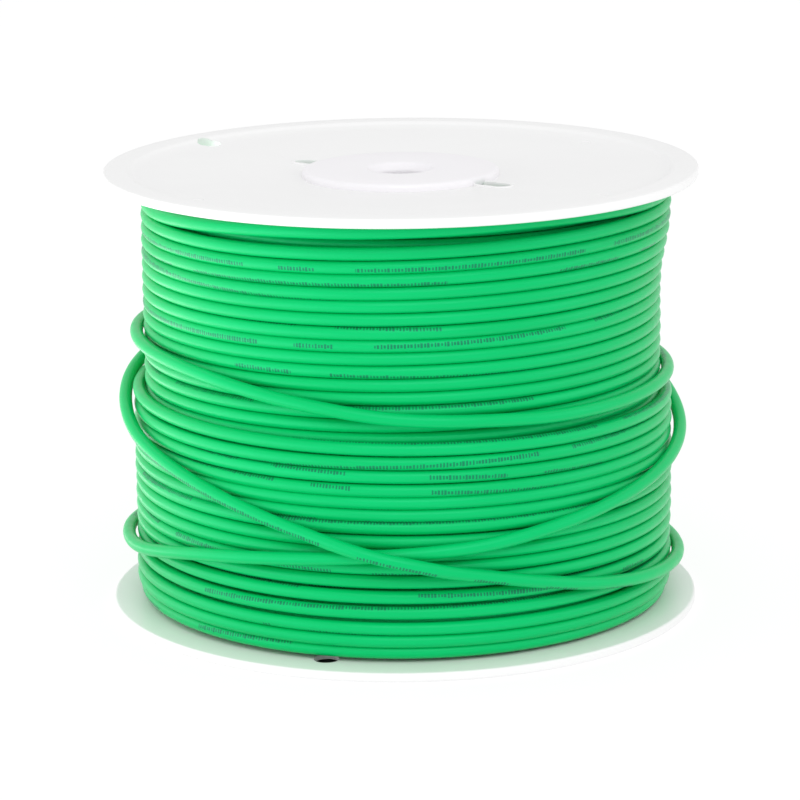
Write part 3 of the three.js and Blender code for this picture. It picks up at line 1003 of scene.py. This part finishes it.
EJECTOR_PLACE_MM = 104.0
EJECTOR_RADIUS_MM = 2.2
EJECTOR_DEPTH_MM = 0.25
EJECTOR_ANGLES = (38.5, 141.5, 218.5, 321.5)
WEB_AT_EJECTOR_MM = 2.34


def flange_mesh(slot_angle, hole_angle):
    """One flange, drawn as the lower one: a rim to stand on and a web that rises to the hub."""
    mesh = turned("flange", [
        (BARREL_RADIUS_MM - BARREL_WALL_MM, WEB_HUB_DEPTH_MM, 0.3),
        (WEB_OUTER_MM, WEB_OUTER_DEPTH_MM, 3.5),
        (WEB_FOOT_MM, WEB_FOOT_DEPTH_MM, 1.0),
        (RIM_INNER_MM, 0, 0.9),
        (FLANGE_RADIUS_MM, 0, 1.2),
        (FLANGE_RADIUS_MM, RIM_THICKNESS_MM, 1.2),
        (WEB_OUTER_MM, RIM_THICKNESS_MM, 3),
        (BARREL_RADIUS_MM, WEB_HUB_DEPTH_MM + WEB_THICKNESS_MM, 0),
        (BARREL_RADIUS_MM - BARREL_WALL_MM, WEB_HUB_DEPTH_MM + WEB_THICKNESS_MM, 0.3),
    ])
    face = WEB_HUB_DEPTH_MM - (WEB_HUB_DEPTH_MM - WEB_OUTER_DEPTH_MM) * (
        (SLOT_RADIUS_MM - BARREL_RADIUS_MM) / (WEB_OUTER_MM - BARREL_RADIUS_MM)
    )
    top = face - LIP_HEIGHT_MM
    lip = [
        (LIP_MM, face + 1),
        (LIP_MM, top + LIP_ROUND_MM),
        (LIP_MM - LIP_STEP_IN_MM, top + LIP_STEP_UP_MM),
        (LIP_MM - LIP_ROUND_MM, top),
    ]
    opening = [
        (LIP_ROUND_MM, top - 1),
        (LIP_ROUND_MM, top),
        (LIP_STEP_IN_MM, top + LIP_STEP_UP_MM),
        (0, top + LIP_ROUND_MM),
        (0, face + 4),
    ]
    both = (slot_angle, slot_angle + 180)
    mesh = combined(mesh, "UNION", [slot_solid(lip, angle) for angle in both])
    cutters = [slot_solid(opening, angle) for angle in both]
    cutters.append(drill(END_HOLE_RADIUS_MM, -1, 8, hole_angle, END_HOLE_PLACE_MM))
    for angle in EJECTOR_ANGLES:
        cutters.append(drill(EJECTOR_RADIUS_MM, 0, WEB_AT_EJECTOR_MM + EJECTOR_DEPTH_MM,
                             angle, EJECTOR_PLACE_MM))
    return combined(mesh, "DIFFERENCE", cutters)


def hub_cap_mesh():
    """One end disc, drawn as the lower one, with the spigot and the spindle's boss inside."""
    under = WEB_HUB_DEPTH_MM - CLEARANCE_MM
    spigot = BARREL_RADIUS_MM - BARREL_WALL_MM - CLEARANCE_MM
    boss = BORE_RADIUS_MM + BOSS_WALL_MM
    return turned("hub_cap", [
        (BORE_MOUTH_MM, CAP_INSET_MM, 0.7),
        (CAP_RADIUS_MM, CAP_INSET_MM, 2.0),
        (CAP_RADIUS_MM, WEB_HUB_DEPTH_MM - CAP_GAP_MM, 0),
        (spigot, WEB_HUB_DEPTH_MM - CAP_GAP_MM, 0),
        (spigot, SPIGOT_END_MM, 0.5),
        (spigot - SPIGOT_WALL_MM, SPIGOT_END_MM, 0.5),
        (spigot - SPIGOT_WALL_MM, under, 0.8),
        (boss, under, 0.8),
        (boss, SPIGOT_END_MM, 0.3),
        (BORE_RADIUS_MM, SPIGOT_END_MM, 0.3),
        (BORE_RADIUS_MM, CAP_INSET_MM + BORE_MOUTH_MM - BORE_RADIUS_MM, 0.8),
    ], 160)


def turned_over(mesh):
    """The same piece at the reel's upper end, turned over about the X axis."""
    lift = Matrix.Translation((0, 0, REEL_HEIGHT_MM * MM))
    mesh.transform(lift @ Matrix.Rotation(math.pi, 4, "X"))
    return mesh


def pipe_mesh(outer, inner, low, high):
    """A plain tube round the reel's axis, its edges a little rounded."""
    return turned("pipe", [
        (inner, low, 0.4), (outer, low, 0.4), (outer, high, 0.4), (inner, high, 0.4),
    ], 128)


FLANGE = plastic("flange_white", (0.875, 0.875, 0.875), (0.865, 0.865, 0.865))
HUB = plastic("hub_white", (0.88, 0.865, 0.89), (0.87, 0.855, 0.88))

new_piece("flange_upper", turned_over(flange_mesh(-UPPER_SLOT_ANGLE, -UPPER_END_HOLE_ANGLE)),
          FLANGE, ["upper_flange"])
new_piece("flange_lower", flange_mesh(LOWER_SLOT_ANGLE, LOWER_END_HOLE_ANGLE),
          FLANGE, ["lower_flange"])
new_piece("hub_cap_upper", turned_over(hub_cap_mesh()), HUB, ["upper_hub_cap"])
new_piece("hub_cap_lower", hub_cap_mesh(), HUB, ["lower_hub_cap"])

barrel_low = WEB_HUB_DEPTH_MM + WEB_THICKNESS_MM + CLEARANCE_MM
new_piece("barrel_tube", pipe_mesh(
    BARREL_RADIUS_MM, BARREL_RADIUS_MM - BARREL_WALL_MM, barrel_low, REEL_HEIGHT_MM - barrel_low,
), HUB, ["barrel"])
sleeve_bore = BORE_RADIUS_MM + BOSS_WALL_MM + CLEARANCE_MM
new_piece("sleeve_tube", pipe_mesh(
    sleeve_bore + SLEEVE_WALL_MM, sleeve_bore, WEB_HUB_DEPTH_MM,
    REEL_HEIGHT_MM - WEB_HUB_DEPTH_MM,
), HUB, ["spindle_sleeve"])

# ---- Stage, lights and the world ----

FLOOR_REACH = 14.0
FLOOR_HEIGHT = -0.0001
FLOOR_GLOW = 0.825
FLOOR_GREY = (0.2, 0.2, 0.2)
FLOOR_ROUGHNESS = 0.9
SHADED_FLOOR_HEIGHT = -0.00005
SHADED_FLOOR_INSET_MM = 4
WORLD_STRENGTH = 0.84

# Each light's name, place, target, width, height and radiance.
LIGHTS = (
    ("front", (0.3, -2.2, 2.2), (0, 0, 0.1), 2.4, 1.6, 1.95),
    ("left_card", (-0.55, -0.3, 0.17), (0, -0.3, 0.17), 1.1, 0.34, 1.1),
    ("left_table", (-0.42, -0.2, 0.004), (-0.42, -0.2, 1), 0.4, 1.0, 1.8),
    ("right", (2.4, -0.6, 1.0), (0, 0, 0.1), 1.6, 1.4, 0.95),
)


def make_floor():
    """The white table, which glows so that it runs into the white background."""
    data = bpy.data.meshes.new("floor")
    corners = ((-1, -1), (1, -1), (1, 1), (-1, 1))
    points = [(x * FLOOR_REACH, y * FLOOR_REACH, FLOOR_HEIGHT) for x, y in corners]
    data.from_pydata(points, [], [(0, 1, 2, 3)])
    floor = bpy.data.objects.new("floor", data)
    bpy.context.scene.collection.objects.link(floor)
    graph = Graph("floor", FLOOR_GREY, FLOOR_ROUGHNESS)
    graph.shader.inputs["Specular IOR Level"].default_value = 0.0
    graph.shader.inputs["Emission Color"].default_value = (1, 1, 1, 1)
    graph.shader.inputs["Emission Strength"].default_value = FLOOR_GLOW
    data.materials.append(graph.material)


def make_shaded_floor():
    """The floor under the reel, where no light falls: a grey disc without the floor's glow,
    painted shade under the reel.
    """
    data = bpy.data.meshes.new("floor_under_reel")
    angles = np.linspace(0, 2 * np.pi, 96, endpoint=False)
    reach = (FLANGE_RADIUS_MM - SHADED_FLOOR_INSET_MM) * MM
    edge = [
        (reach * math.cos(angle), reach * math.sin(angle), SHADED_FLOOR_HEIGHT)
        for angle in angles
    ]
    data.from_pydata(edge, [], [tuple(range(len(edge)))])
    floor = bpy.data.objects.new("floor_under_reel", data)
    bpy.context.scene.collection.objects.link(floor)
    data.materials.append(Graph("shaded_floor", FLOOR_GREY, FLOOR_ROUGHNESS).material)


def area_light(name, place, target, width, height, radiance):
    """A soft rectangular light of an even radiance, facing the target."""
    data = bpy.data.lights.new(name, "AREA")
    data.shape = "RECTANGLE"
    data.size = width
    data.size_y = height
    data.energy = radiance * width * height * math.pi
    light = bpy.data.objects.new(name, data)
    light.location = place
    facing = Vector(target) - Vector(place)
    light.rotation_euler = facing.to_track_quat("-Z", "Y").to_euler()
    light.visible_camera = False
    bpy.context.scene.collection.objects.link(light)


make_floor()
make_shaded_floor()
for light in LIGHTS:
    area_light(*light)

world = bpy.data.worlds.new("world")
world.use_nodes = True
world.node_tree.nodes["Background"].inputs["Color"].default_value = (1, 1, 1, 1)
world.node_tree.nodes["Background"].inputs["Strength"].default_value = WORLD_STRENGTH
bpy.context.scene.world = world
bpy.context.scene.view_settings.view_transform = "Standard"
